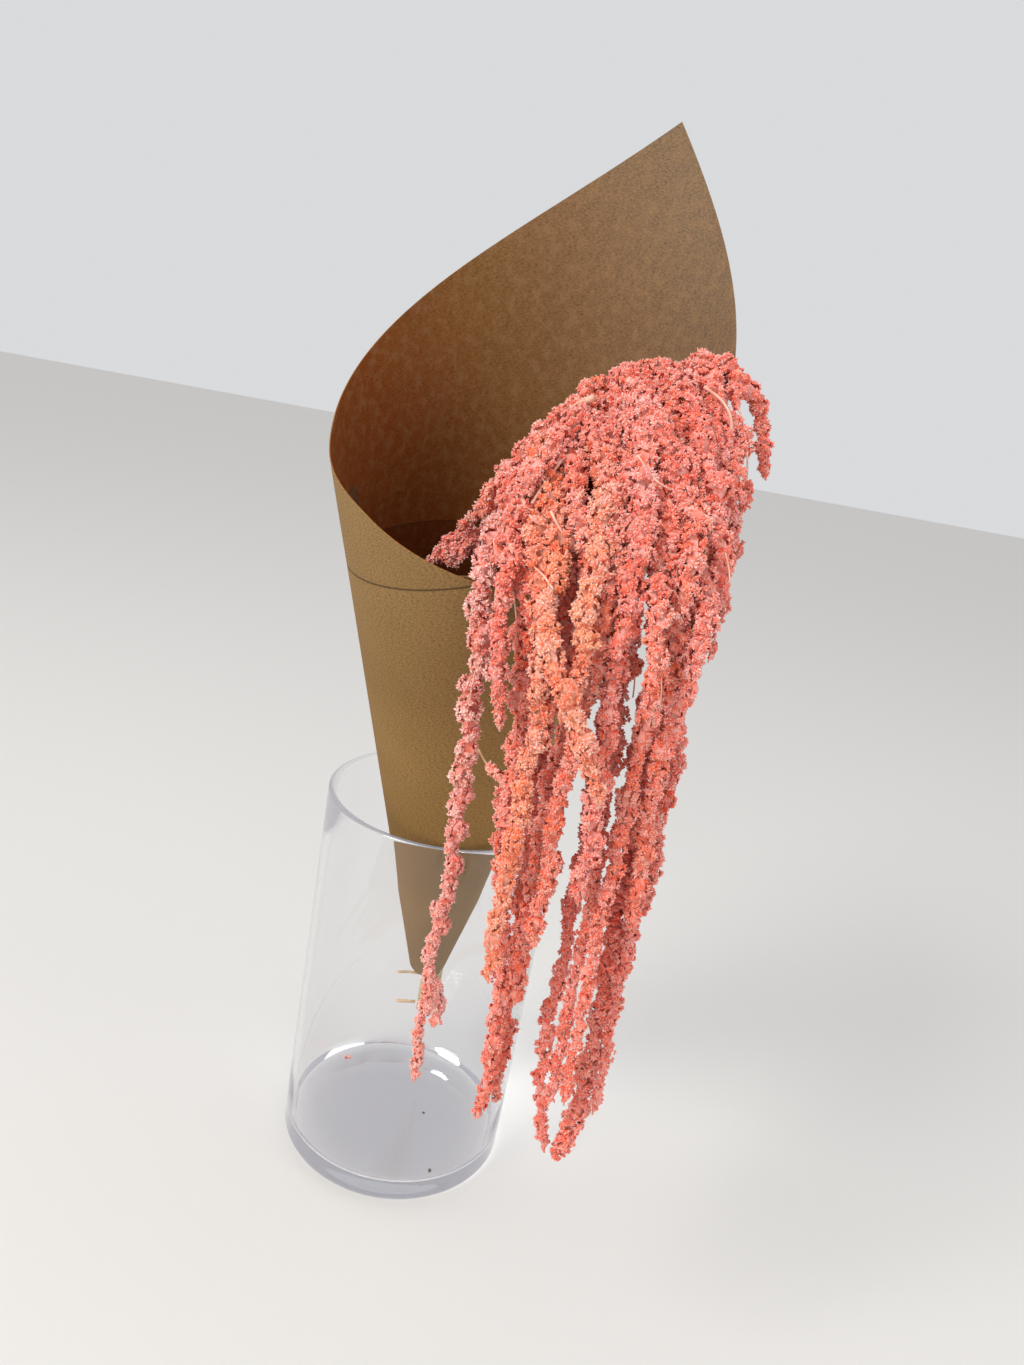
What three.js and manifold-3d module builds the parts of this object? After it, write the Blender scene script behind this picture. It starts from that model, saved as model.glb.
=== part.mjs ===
// A bunch of dried pink amaranth in a rolled kraft-paper cone that leans in a clear glass
// cylinder vase. Millimetres, +Z up. The origin is the middle of the vase's underside, and the
// paper cone leans towards -Y, over whose lip the tassels hang.
import * as THREE from "three";
import { mergeVertices } from "three/addons/utils/BufferGeometryUtils.js";
import Module from "manifold-3d";

const wasm = await Module();
wasm.setup();

// Driving dimensions
const VASE = { radius: 75, height: 255, wall: 4, base: 13, footRound: 6, sides: 40 };
const SHEET = {
  side: 423, // square kraft sheet, rolled with one corner at the tip
  thickness: 0.8,
  turnPitch: 1.25, // how far the spiral of the sheet opens in one turn
  tipCut: 65, // length cut off the rolled corner
  creaseDistance: 384.5, // straight crease, measured from the rolled corner in the flat sheet
  creaseTurn: 7.7, // its tilt in the flat sheet, degrees
  creaseLimit: 0.97, // where the crease would run off the sheet it stays this far below its edge
  halfCorner: 45, // half the sheet's square corner, degrees
  flapRise: 14, // how much further up the cone the overlapping flap's edge sits
  flapFrom: 21, // flat angle where that rise begins, degrees
  flapOver: 9, // flat angle over which it grows, degrees
  columns: 64,
};
const CONE = {
  apex: new THREE.Vector3(7, 51.35, 56.4), // where the sides of the cone would meet
  lean: 20.93, // degrees off vertical
  leanAzimuth: -91.92,
  halfAngle: 10.26,
  cornerAngle: 61.8, // where round the cone the sheet's far corner stands
};
const SHORTEST_EDGE = 0.01; // shorter edges, which fusing leaves, are closed up
const SEAT_GAP = 0.3;
const STEM = { footRadius: 2.1, topRadius: 1.8, spread: 9.6, sides: 6, step: 24 };
const TASSEL = {
  step: 6.2, // between two rings of floret clusters
  spurStep: 4.5,
  topRadius: 6.3,
  tipRadius: 4.1,
  threadRadius: 1.3, // the bare thread that a tassel starts with, and that shows in a loose one
  bareRings: 2,
  flareRings: 5,
  ringSides: 3,
  sway: 2.4,
  ledSway: 0.7, // of a tassel that is led through points
  raggedness: 0.34, // how much shorter than its full reach a cluster may be
};
// How the tassels are bent clear of each other, of the stems and of the paper
const BEND = {
  rounds: 130,
  lastRounds: 40, // without the pull back to the line that a tassel would take alone
  nodeGap: 1.0, // between tassels of two stems
  sameStem: 0.72, // share of their radii that tassels of one stem keep
  nearFork: 0.3, // the same close to the fork that they grow from
  forkRings: 8,
  push: 0.6,
  paperPush: 0.7,
  paperReach: 2.0, // from the middle of the sheet to a tassel's outer florets
  paperDepth: 160, // how far below its edge the sheet is watched
  homePull: 0.02,
  spreading: 0.4, // how evenly a bend is spread along a tassel
  lastSpreading: 0.15,
};

// The five cut stems, which lie on the paper's inner wall: the angle of that wall round the
// cone, the length that stands out below the paper, the height where the stem leaves the wall
// and the crown that it rises to. The last one leans back on the glass (its foot is given).
const STEMS = [
  { wallAngle: -94, bare: 44, leaveAt: 300, crown: [16, -118, 446] },
  { wallAngle: -63, bare: 52, leaveAt: 300, crown: [32, -116, 462] },
  { wallAngle: -32, bare: 38, leaveAt: 300, crown: [48, -110, 478] },
  { wallAngle: -1, bare: 48, leaveAt: 300, crown: [58, -100, 490] },
  { wallAngle: 30, foot: [16, 62], leaveAt: 300, crown: [60, -86, 490] },
];

// The tassels, left to right: the stem that each grows from, where it starts between the
// stem's wall point (0) and its crown (1), the top of its arch, where it hangs down, and its tip.
// Some are led through points of their own (via) or end thinner or thicker (tipRadius).
// A loose one has clusters apart on its thread, and the spur is a short one below the paper.
const TASSELS = [
  {
    stem: 0, from: 0.95, arch: [2, -150, 464], hang: [2, -193],
    via: [[4, -194, 387], [7, -194, 341], [8, -195, 298], [3.6, -195, 260], [6, -195, 228]],
    tip: [6.5, -195, 193], tipRadius: 3.3,
  },
  { stem: 0, from: 0.75, arch: [-10, -116, 452], hang: [-26, -136], tip: [-27, -142, 430] },
  {
    stem: 0, from: 0.85, arch: [6, -148, 478], hang: [20, -212],
    via: [[23, -212, 396], [29, -211, 330], [33, -210, 290], [39.5, -209, 250], [40.5, -208, 222]],
    tip: [38, -208, 189], tipRadius: 3.8,
  },
  { stem: 0, from: 0.9, arch: [8, -158, 472], hang: [18, -200], tip: [24, -199, 322], loose: true },
  { stem: 0, from: 1.0, arch: [8, -134, 486], hang: [9, -226], tip: [16, -224, 386] },
  { stem: 1, from: 0.95, arch: [20, -142, 498], hang: [33, -198], tip: [45, -198, 204] },
  { stem: 1, from: 0.8, arch: [14, -134, 496], hang: [26, -226], tip: [30.4, -226, 274] },
  { stem: 1, from: 0.7, arch: [26, -140, 508], hang: [42, -212], tip: [44, -212, 256] },
  { stem: 1, from: 1.0, arch: [18, -122, 504], hang: [28, -242], tip: [58, -244, 370] },
  { stem: 1, from: 0.6, arch: [8, -100, 476], hang: [-2, -78], tip: [-8, -74, 424] },
  { stem: 1, spur: 0.8, arch: [15, 18, 97], tip: [20, 17, 75] },
  {
    stem: 2, from: 0.95, arch: [38, -136, 520], hang: [56, -198],
    via: [[63, -199, 330], [61.5, -200, 305], [62.5, -200, 253], [65, -200, 201]],
    tip: [75, -200, 169], tipRadius: 3.2,
  },
  { stem: 2, from: 0.8, arch: [30, -126, 518], hang: [47, -226], tip: [46, -224, 294] },
  { stem: 2, from: 0.7, arch: [46, -132, 526], hang: [62, -212], tip: [69.5, -212, 206], tipRadius: 3.3 },
  { stem: 2, from: 1.0, arch: [34, -112, 522], hang: [39, -240], tip: [36, -236, 396] },
  { stem: 2, from: 0.9, arch: [50, -118, 532], hang: [57, -228], tip: [60, -228, 318] },
  {
    stem: 3, from: 0.95, arch: [58, -132, 530], hang: [75, -196],
    via: [[82.5, -198, 308], [84, -200, 257], [86.5, -200, 205]],
    tip: [81, -200, 167], tipRadius: 5.4,
  },
  { stem: 3, from: 0.8, arch: [56, -118, 534], hang: [70, -222], tip: [75, -220, 214], tipRadius: 3.1 },
  { stem: 3, from: 0.7, arch: [66, -128, 534], hang: [83, -206], tip: [92, -204, 198], tipRadius: 3.1 },
  { stem: 3, from: 1.0, arch: [58, -104, 532], hang: [62, -242], tip: [72, -240, 404] },
  { stem: 3, from: 0.9, arch: [68, -112, 536], hang: [76, -222], tip: [86, -218, 306] },
  { stem: 4, from: 0.95, arch: [76, -118, 536], hang: [89, -188], tip: [94, -190, 270] },
  { stem: 4, from: 0.8, arch: [82, -108, 538], hang: [94, -174], tip: [95, -176, 350] },
  { stem: 4, from: 0.7, arch: [83, -118, 543], hang: [105, -164], tip: [104, -162, 412], loose: true },
  { stem: 4, from: 1.0, arch: [87.5, -125, 541.5], hang: [106, -132], tip: [117, -131, 492] },
  { stem: 4, from: 0.6, arch: [64, -84, 526], hang: [58, -64], tip: [54, -58, 468] },
  { stem: 4, from: 0.9, arch: [72, -92, 538], hang: [78, -232], tip: [80, -230, 388] },
];

function seededRandom(seed) {
  let state = seed >>> 0;
  return () => {
    state = (state + 0x6d2b79f5) >>> 0;
    let mixed = Math.imul(state ^ (state >>> 15), state | 1);
    mixed ^= mixed + Math.imul(mixed ^ (mixed >>> 7), mixed | 61);
    return ((mixed ^ (mixed >>> 14)) >>> 0) / 4294967296;
  };
}

const radians = THREE.MathUtils.degToRad;
const vec = (list) => new THREE.Vector3(list[0], list[1], list[2]);

// The cone's own frame
const coneAxis = new THREE.Vector3(
  Math.sin(radians(CONE.lean)) * Math.cos(radians(CONE.leanAzimuth)),
  Math.sin(radians(CONE.lean)) * Math.sin(radians(CONE.leanAzimuth)),
  Math.cos(radians(CONE.lean)),
);
const coneSide = new THREE.Vector3(0, 0, 1).cross(coneAxis).normalize();
const coneUp = coneAxis.clone().cross(coneSide);
const sinHalf = Math.sin(radians(CONE.halfAngle));
const cosHalf = Math.cos(radians(CONE.halfAngle));

function radialOf(angle) {
  const side = coneSide.clone().multiplyScalar(Math.cos(radians(angle)));
  return side.addScaledVector(coneUp, Math.sin(radians(angle)));
}

// A point at a slant distance from the apex, pushed out of the cone by offset
function onCone(angle, slant, offset) {
  const radial = radialOf(angle);
  const point = CONE.apex.clone().addScaledVector(coneAxis, slant * cosHalf - offset * sinHalf);
  return point.addScaledVector(radial, slant * sinHalf + offset * cosHalf);
}

// The angle round the cone where the sheet's inner end lies
const innerEnd = CONE.cornerAngle - SHEET.halfCorner / sinHalf;

function spiralOffset(angle) {
  return (SHEET.turnPitch * (angle - innerEnd)) / 360;
}

// Slant length of the sheet at an angle of the flat sheet
function sheetSlant(flatAngle) {
  const edgeTurn = flatAngle > 0 ? flatAngle - SHEET.halfCorner : flatAngle + SHEET.halfCorner;
  const grown = THREE.MathUtils.clamp((flatAngle - SHEET.flapFrom) / SHEET.flapOver, 0, 1);
  const rise = SHEET.flapRise * grown * grown * (3 - 2 * grown);
  return SHEET.side / Math.cos(radians(edgeTurn)) + rise;
}

function creaseSlant(flatAngle) {
  return SHEET.creaseDistance / Math.cos(radians(flatAngle - SHEET.creaseTurn));
}

function geometryFrom(positions, triangles) {
  const geometry = new THREE.BufferGeometry();
  geometry.setAttribute("position", new THREE.Float32BufferAttribute(positions, 3));
  geometry.setIndex(triangles);
  return geometry;
}

// The rolled sheet: columns along the flat sheet, rows tip, crease and edge on both faces
function paperCone() {
  const positions = [];
  const triangles = [];
  const rows = 3;
  const perColumn = rows * 2;
  for (let column = 0; column <= SHEET.columns; column += 1) {
    const flatAngle = SHEET.halfCorner * (2 * (column / SHEET.columns) - 1);
    const angle = CONE.cornerAngle + flatAngle / sinHalf;
    const edge = sheetSlant(flatAngle);
    const crease = Math.min(creaseSlant(flatAngle), edge * SHEET.creaseLimit);
    const slants = [SHEET.tipCut, crease, edge];
    for (const face of [-0.5, 0.5]) {
      const offset = spiralOffset(angle) + face * SHEET.thickness;
      for (const slant of slants) {
        positions.push(...onCone(angle, slant, offset).toArray());
      }
    }
  }
  const corner = (column, face, row) => column * perColumn + face * rows + row;
  const quad = (a, b, c, d) => triangles.push(a, b, c, a, c, d);
  for (let column = 0; column < SHEET.columns; column += 1) {
    const next = column + 1;
    for (let row = 0; row < rows - 1; row += 1) {
      const up = row + 1;
      quad(corner(column, 1, row), corner(next, 1, row), corner(next, 1, up), corner(column, 1, up));
      quad(corner(column, 0, row), corner(column, 0, up), corner(next, 0, up), corner(next, 0, row));
    }
    quad(corner(column, 0, 0), corner(next, 0, 0), corner(next, 1, 0), corner(column, 1, 0));
    const top = rows - 1;
    quad(corner(column, 1, top), corner(next, 1, top), corner(next, 0, top), corner(column, 0, top));
  }
  const last = SHEET.columns;
  for (let row = 0; row < rows - 1; row += 1) {
    const up = row + 1;
    quad(corner(0, 0, row), corner(0, 1, row), corner(0, 1, up), corner(0, 0, up));
    quad(corner(last, 1, row), corner(last, 0, row), corner(last, 0, up), corner(last, 1, up));
  }
  return geometryFrom(positions, triangles);
}

// The glass: a straight wall with a rounded lip, and a thick base with a rounded edge
function glassVase() {
  const { radius, height, wall, base, footRound, sides } = VASE;
  const lipRound = wall / 2;
  const profile = [new THREE.Vector2(0, 0)];
  const arc = (x, z, size, from, to, steps) => {
    for (let step = 0; step <= steps; step += 1) {
      const turn = radians(from + ((to - from) * step) / steps);
      profile.push(new THREE.Vector2(x + size * Math.cos(turn), z + size * Math.sin(turn)));
    }
  };
  arc(radius - footRound, footRound, footRound, -90, 0, 3);
  arc(radius - lipRound, height - lipRound, lipRound, 0, 180, 4);
  arc(radius - wall - footRound, base + footRound, footRound, 0, -90, 3);
  profile.push(new THREE.Vector2(0, base));
  const lathe = new THREE.LatheGeometry(profile, sides);
  lathe.rotateX(Math.PI / 2);
  return lathe;
}

function resample(points, step) {
  let length = 0;
  for (let i = 1; i < points.length; i += 1) {
    length += points[i].distanceTo(points[i - 1]);
  }
  const count = Math.max(3, Math.round(length / step));
  const result = [points[0].clone()];
  let segment = 1;
  let walked = 0;
  for (let i = 1; i < count; i += 1) {
    const target = (length * i) / count;
    let part = points[segment].distanceTo(points[segment - 1]);
    while (walked + part < target) {
      walked += part;
      segment += 1;
      part = points[segment].distanceTo(points[segment - 1]);
    }
    const share = (target - walked) / part;
    result.push(points[segment - 1].clone().lerp(points[segment], share));
  }
  result.push(points[points.length - 1].clone());
  return result;
}

function smooth(points, rounds) {
  let line = points;
  for (let round = 0; round < rounds; round += 1) {
    line = line.map((point, i) => {
      if (i === 0 || i === line.length - 1) {
        return point;
      }
      const neighbours = line[i - 1].clone().lerp(line[i + 1], 0.5);
      return point.clone().lerp(neighbours, 0.5);
    });
  }
  return line;
}

// A stem from its cut foot through the paper's open tip and up the inner wall to its crown
function stemLine(stem) {
  const inset = spiralOffset(stem.wallAngle) - SHEET.thickness / 2 - STEM.footRadius - SEAT_GAP;
  const slantAt = (height) => (height - CONE.apex.z) / (cosHalf * coneAxis.z);
  const mouth = onCone(stem.wallAngle, SHEET.tipCut - SEAT_GAP, inset);
  const high = onCone(stem.wallAngle, slantAt(stem.leaveAt), inset);
  let foot = null;
  if (stem.foot) {
    const [x, z] = stem.foot;
    const reach = VASE.radius - VASE.wall - STEM.footRadius - SEAT_GAP;
    foot = new THREE.Vector3(x, Math.sqrt(reach * reach - x * x), z);
  } else {
    foot = CONE.apex.clone().addScaledVector(coneAxis, SHEET.tipCut * cosHalf - stem.bare);
    foot.addScaledVector(radialOf(stem.wallAngle), STEM.spread);
  }
  return { foot, mouth, high, crown: vec(stem.crown) };
}

const stemLines = STEMS.map(stemLine);

// The line that a tassel would take alone: up out of its fork, over its arch and straight down
function tasselHome(tassel, index) {
  const line = stemLines[tassel.stem];
  const arch = vec(tassel.arch);
  const tip = vec(tassel.tip);
  if (tassel.spur) {
    const start = line.foot.clone().lerp(line.mouth, tassel.spur);
    return smooth(resample([start, arch, tip], TASSEL.spurStep), 2);
  }
  const start = line.high.clone().lerp(line.crown, tassel.from);
  const [hangX, hangY] = tassel.hang;
  const drop = 14 + 0.54 * Math.abs(hangY - arch.y);
  const shoulder = new THREE.Vector3(hangX, hangY, arch.z - drop);
  const rise = start.clone().lerp(arch, 0.5);
  const led = (tassel.via ?? []).map(vec);
  const home = smooth(resample([start, rise, arch, shoulder, ...led, tip], TASSEL.step), 14);
  const most = tassel.via ? TASSEL.ledSway : TASSEL.sway;
  home.forEach((point, i) => {
    const along = i / home.length;
    const sway = most * 4 * along * (1 - along);
    point.x += sway * Math.sin(along * 9 + index * 2.4);
    point.y += 0.6 * sway * Math.cos(along * 7 + index * 1.7);
  });
  return home;
}

// How far the clusters of a ring reach from the thread
function tasselRadius(ring, count, tassel) {
  const bare = tassel.spur ? 1 : TASSEL.bareRings;
  const flare = tassel.spur ? 2 : TASSEL.flareRings;
  if (tassel.loose && ring % 4 > 1) {
    return TASSEL.threadRadius;
  }
  const opening = THREE.MathUtils.clamp((ring - bare) / flare, 0, 1);
  const tipRadius = tassel.tipRadius ?? TASSEL.tipRadius;
  const body = THREE.MathUtils.lerp(TASSEL.topRadius, tipRadius, ring / (count - 1));
  const end = Math.min(1, (count - 1 - ring) / 2 + 0.35);
  return THREE.MathUtils.lerp(TASSEL.threadRadius, body * end, opening);
}

// Every stem, which stays where it is, and every tassel, which may be bent
function buildChains() {
  const stems = stemLines.map((line, stem) => {
    const wall = resample([line.mouth, line.high], STEM.step);
    const middle = line.high.clone().lerp(line.crown, 0.5);
    const rise = smooth(resample([line.high, middle, line.crown], TASSEL.step), 4);
    const home = [line.foot, ...wall, ...rise.slice(1)];
    return { stem, fixed: true, home, radius: home.map(() => STEM.footRadius) };
  });
  const tassels = TASSELS.map((tassel, index) => {
    const home = tasselHome(tassel, index);
    const radius = home.map((point, i) => tasselRadius(i, home.length, tassel));
    return { stem: tassel.stem, fixed: false, home, radius, index };
  });
  return [...stems, ...tassels];
}

const chains = buildChains();

const group = new THREE.Group();
const paperMaterial = new THREE.MeshStandardMaterial({ color: 0x9a7b55, roughness: 0.9, metalness: 0 });
const glassMaterial = new THREE.MeshStandardMaterial({
  color: 0xe9eef0,
  roughness: 0.05,
  metalness: 0,
  transparent: true,
  opacity: 0.35,
});
const amaranthMaterial = new THREE.MeshStandardMaterial({ color: 0xe8857c, roughness: 0.95, metalness: 0 });

function addNode(name, geometry, material) {
  const mesh = new THREE.Mesh(geometry, material.clone());
  mesh.name = name;
  group.add(mesh);
}

// Points on the middle of the sheet, near its edge, that the tassels keep off
function paperGuards() {
  const guards = [];
  for (let angle = -150; angle <= 60; angle += 3) {
    for (const turn of [0, 360]) {
      const flatAngle = (angle + turn - CONE.cornerAngle) * sinHalf;
      if (Math.abs(flatAngle) <= SHEET.halfCorner) {
        const edge = sheetSlant(flatAngle);
        for (let slant = edge; slant > edge - BEND.paperDepth; slant -= 4) {
          guards.push(onCone(angle, slant, spiralOffset(angle + turn)));
        }
      }
    }
  }
  return guards;
}

// The distance that two points of different chains keep
function wantedGap(first, second) {
  const reach = first.radius + second.radius;
  if (first.stem !== second.stem) {
    return reach + BEND.nodeGap;
  }
  const near = first.order < BEND.forkRings || second.order < BEND.forkRings;
  return reach * (near ? BEND.nearFork : BEND.sameStem);
}

function pushApart(points, push) {
  const delta = new THREE.Vector3();
  for (let a = 0; a < points.length; a += 1) {
    for (let b = a + 1; b < points.length; b += 1) {
      const first = points[a];
      const second = points[b];
      if (first.chain !== second.chain && !(first.fixed && second.fixed)) {
        delta.subVectors(first.at, second.at);
        const distance = delta.length();
        const wanted = wantedGap(first, second);
        if (distance < wanted && distance > 0) {
          const share = first.fixed || second.fixed ? 1 : 0.5;
          delta.multiplyScalar(((wanted - distance) / distance) * share * BEND.push);
          push[a].add(delta);
          push[b].sub(delta);
        }
      }
    }
  }
}

function pushOffPaper(points, push, guards) {
  const delta = new THREE.Vector3();
  points.forEach((point, a) => {
    for (const guard of guards) {
      delta.subVectors(point.at, guard);
      const distance = delta.length();
      const wanted = point.radius + BEND.paperReach;
      if (!point.fixed && distance < wanted) {
        push[a].addScaledVector(delta, ((wanted - distance) / distance) * BEND.paperPush);
      }
    }
  });
}

// Spreads each point's shift from its home over its neighbours, so that bends stay gentle
function spreadShifts(points, weight) {
  const shifts = points.map((point) => point.at.clone().sub(point.home));
  points.forEach((point, a) => {
    if (!point.fixed) {
      const next = points[a + 1];
      const before = shifts[a - 1];
      const after = next && next.chain === point.chain ? shifts[a + 1] : before;
      const mean = before.clone().lerp(after, 0.5);
      point.at.copy(point.home).add(shifts[a].clone().lerp(mean, weight));
    }
  });
}

function bendClear(allChains) {
  const points = allChains.flatMap((chain, chainIndex) =>
    chain.home.map((home, order) => ({
      chain: chainIndex,
      stem: chain.stem,
      fixed: chain.fixed || order === 0,
      order,
      home,
      at: home.clone(),
      radius: chain.radius[order],
    })),
  );
  const guards = paperGuards();
  for (let round = 0; round < BEND.rounds; round += 1) {
    const last = round > BEND.rounds - BEND.lastRounds;
    const push = points.map(() => new THREE.Vector3());
    pushApart(points, push);
    pushOffPaper(points, push, guards);
    points.forEach((point, a) => {
      if (!point.fixed) {
        point.at.add(push[a]);
        point.at.lerp(point.home, last ? 0 : BEND.homePull);
      }
    });
    spreadShifts(points, last ? BEND.lastSpreading : BEND.spreading);
  }
  return allChains.map((chain, index) => points.filter((p) => p.chain === index).map((p) => p.at));
}

// A closed tube through rings of points, with a fan at each end
function loft(rings) {
  const sides = rings[0].length;
  const positions = [];
  const triangles = [];
  rings.forEach((ring) => ring.forEach((point) => positions.push(...point.toArray())));
  const middle = (ring) => {
    const sum = new THREE.Vector3();
    ring.forEach((point) => sum.add(point));
    return sum.divideScalar(ring.length);
  };
  for (let ring = 0; ring + 1 < rings.length; ring += 1) {
    for (let side = 0; side < sides; side += 1) {
      const a = ring * sides + side;
      const b = ring * sides + ((side + 1) % sides);
      triangles.push(a, b, a + sides, b, b + sides, a + sides);
    }
  }
  const start = rings.length * sides;
  positions.push(...middle(rings[0]).toArray());
  positions.push(...middle(rings[rings.length - 1]).toArray());
  for (let side = 0; side < sides; side += 1) {
    const next = (side + 1) % sides;
    triangles.push(start, next, side);
    const last = (rings.length - 1) * sides;
    triangles.push(start + 1, last + side, last + next);
  }
  return geometryFrom(positions, triangles);
}

// Rings square to a line, without twist from one to the next
function ringsAlong(line, ringPoint) {
  const rings = [];
  const tangentAt = (i) => {
    const from = line[Math.max(0, i - 1)];
    const to = line[Math.min(line.length - 1, i + 1)];
    return to.clone().sub(from).normalize();
  };
  const normal = new THREE.Vector3(1, 0.3, 0.2);
  line.forEach((point, i) => {
    const tangent = tangentAt(i);
    normal.addScaledVector(tangent, -normal.dot(tangent)).normalize();
    const binormal = tangent.clone().cross(normal);
    rings.push(ringPoint(i, point, normal.clone(), binormal));
  });
  return rings;
}

function tube(line, radiusAt, sides) {
  const rings = ringsAlong(line, (i, centre, normal, binormal) => {
    const ring = [];
    for (let side = 0; side < sides; side += 1) {
      const turn = (2 * Math.PI * side) / sides;
      const out = normal.clone().multiplyScalar(Math.cos(turn)).addScaledVector(binormal, Math.sin(turn));
      ring.push(centre.clone().addScaledVector(out, radiusAt(i)));
    }
    return ring;
  });
  return loft(rings);
}

// A tassel: each corner of each ring is the outer end of one cluster of florets, and the next
// ring is turned by half a corner, so that the clusters cover the thread on all sides
function tasselGeometry(line, radii, seed) {
  const random = seededRandom(seed);
  const sides = TASSEL.ringSides;
  const rings = ringsAlong(line, (i, centre, normal, binormal) => {
    const ring = [];
    for (let side = 0; side < sides; side += 1) {
      const turn = (2 * Math.PI * (side + 0.5 * i + TASSEL.raggedness * (random() - 0.5))) / sides;
      const share = 1 - TASSEL.raggedness * random();
      const out = normal.clone().multiplyScalar(Math.cos(turn)).addScaledVector(binormal, Math.sin(turn));
      ring.push(centre.clone().addScaledVector(out, radii[i] * share));
    }
    return ring;
  });
  return loft(rings);
}

function solidOf(geometry) {
  const bare = geometry.clone();
  bare.deleteAttribute("normal");
  bare.deleteAttribute("uv");
  const merged = mergeVertices(bare);
  const mesh = new wasm.Mesh({
    numProp: 3,
    vertProperties: new Float32Array(merged.attributes.position.array),
    triVerts: new Uint32Array(merged.index.array),
  });
  return new wasm.Manifold(mesh);
}

// The outer skin of the largest body: a hollow that fusing sealed is filled, a scrap is dropped
function geometryOf(solid) {
  const bodies = solid.decompose();
  bodies.sort((first, second) => second.volume() - first.volume());
  const mesh = bodies[0].simplify(SHORTEST_EDGE).getMesh();
  return geometryFrom(Array.from(mesh.vertProperties), Array.from(mesh.triVerts));
}

addNode("glass_vase", glassVase(), glassMaterial);
addNode("paper_cone", paperCone(), paperMaterial);

const bent = bendClear(chains);
STEMS.forEach((stem, stemIndex) => {
  const line = stemLines[stemIndex];
  let solid = null;
  bent.forEach((points, chainIndex) => {
    const chain = chains[chainIndex];
    if (chain.stem === stemIndex) {
      const radiusAt = (i) => THREE.MathUtils.lerp(STEM.footRadius, STEM.topRadius, i / points.length);
      const geometry = chain.fixed
        ? tube(points, radiusAt, STEM.sides)
        : tasselGeometry(points, chain.radius, 100 + chain.index);
      const piece = solidOf(geometry);
      solid = solid ? solid.add(piece) : piece;
    }
  });
  addNode(`amaranth_stem_${stemIndex + 1}`, geometryOf(solid), amaranthMaterial);
});

export default group;
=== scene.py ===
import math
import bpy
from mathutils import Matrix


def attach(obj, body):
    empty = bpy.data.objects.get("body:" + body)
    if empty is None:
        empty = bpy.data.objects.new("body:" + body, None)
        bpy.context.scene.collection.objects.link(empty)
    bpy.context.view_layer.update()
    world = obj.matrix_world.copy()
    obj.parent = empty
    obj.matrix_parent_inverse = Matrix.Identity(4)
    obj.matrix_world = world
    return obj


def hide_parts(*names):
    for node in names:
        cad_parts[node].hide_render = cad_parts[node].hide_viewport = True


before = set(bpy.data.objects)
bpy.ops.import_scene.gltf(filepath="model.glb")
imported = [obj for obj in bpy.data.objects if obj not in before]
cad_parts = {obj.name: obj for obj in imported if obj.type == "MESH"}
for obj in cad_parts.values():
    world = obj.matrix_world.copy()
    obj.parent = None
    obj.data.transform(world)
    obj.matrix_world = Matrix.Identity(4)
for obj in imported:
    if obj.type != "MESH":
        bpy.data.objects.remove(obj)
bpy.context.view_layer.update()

# A bunch of dried pink amaranth in a rolled kraft-paper cone that leans in a clear glass
# cylinder vase. Shapes are in millimetres until their mesh is made, the rest in metres.
from types import SimpleNamespace as Data

import bmesh
import bpy
import numpy as np
from mathutils import Matrix, Vector

MM = 0.001
TURN = 2 * math.pi

# The sizes of the solids
VASE = Data(radius=75, height=255, wall=4, base=13, foot_round=6, sides=160)
SHEET = Data(side=423, thickness=0.8, turn_pitch=1.25, tip_cut=65, crease_distance=384.5,
             crease_turn=7.7, crease_limit=0.995, half_corner=45, flap_rise=14, flap_from=21,
             flap_over=9)
CONE = Data(apex=(7, 51.35, 56.4), lean=20.93, lean_azimuth=-91.92, half_angle=10.26,
            corner_angle=61.8)
SEAT_GAP = 0.3
STEM = Data(foot_radius=2.1, top_radius=1.8, spread=9.6, step=24, leave_at=300)
TASSEL = Data(step=6.2, spur_step=4.5, top_radius=6.3, tip_radius=4.1, thread_radius=1.3,
              neck=(2, 5), spur_neck=(1, 2), end_rings=2, end_share=0.35, shoulder_drop=14,
              shoulder_slope=0.54, smoothing=14)
SWAY = Data(size=2.4, led_size=0.7, depth=0.6, waves=(9, 7), phases=(2.4, 1.7))
LOOSE = Data(rings=4, last_full=1, shift=0.6, bare_from=2.2, swell=0.85)
BEND = Data(rounds=130, last_rounds=40, node_gap=1.0, same_stem=0.72, near_fork=0.3,
            fork_rings=8, push=0.6, paper_push=0.7, paper_reach=2.0, paper_depth=160,
            home_pull=0.02, spreading=0.4, last_spreading=0.15, reach=45)
GUARD = Data(angles=(-150, 61, 3), slant_step=4)

STEMS = [
    dict(wall_angle=-94, bare=44, crown=(16, -118, 446)),
    dict(wall_angle=-63, bare=52, crown=(32, -116, 462)),
    dict(wall_angle=-32, bare=38, crown=(48, -110, 478)),
    dict(wall_angle=-1, bare=48, crown=(58, -100, 490)),
    dict(wall_angle=30, foot=(16, 62), crown=(60, -86, 490)),
]

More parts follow.
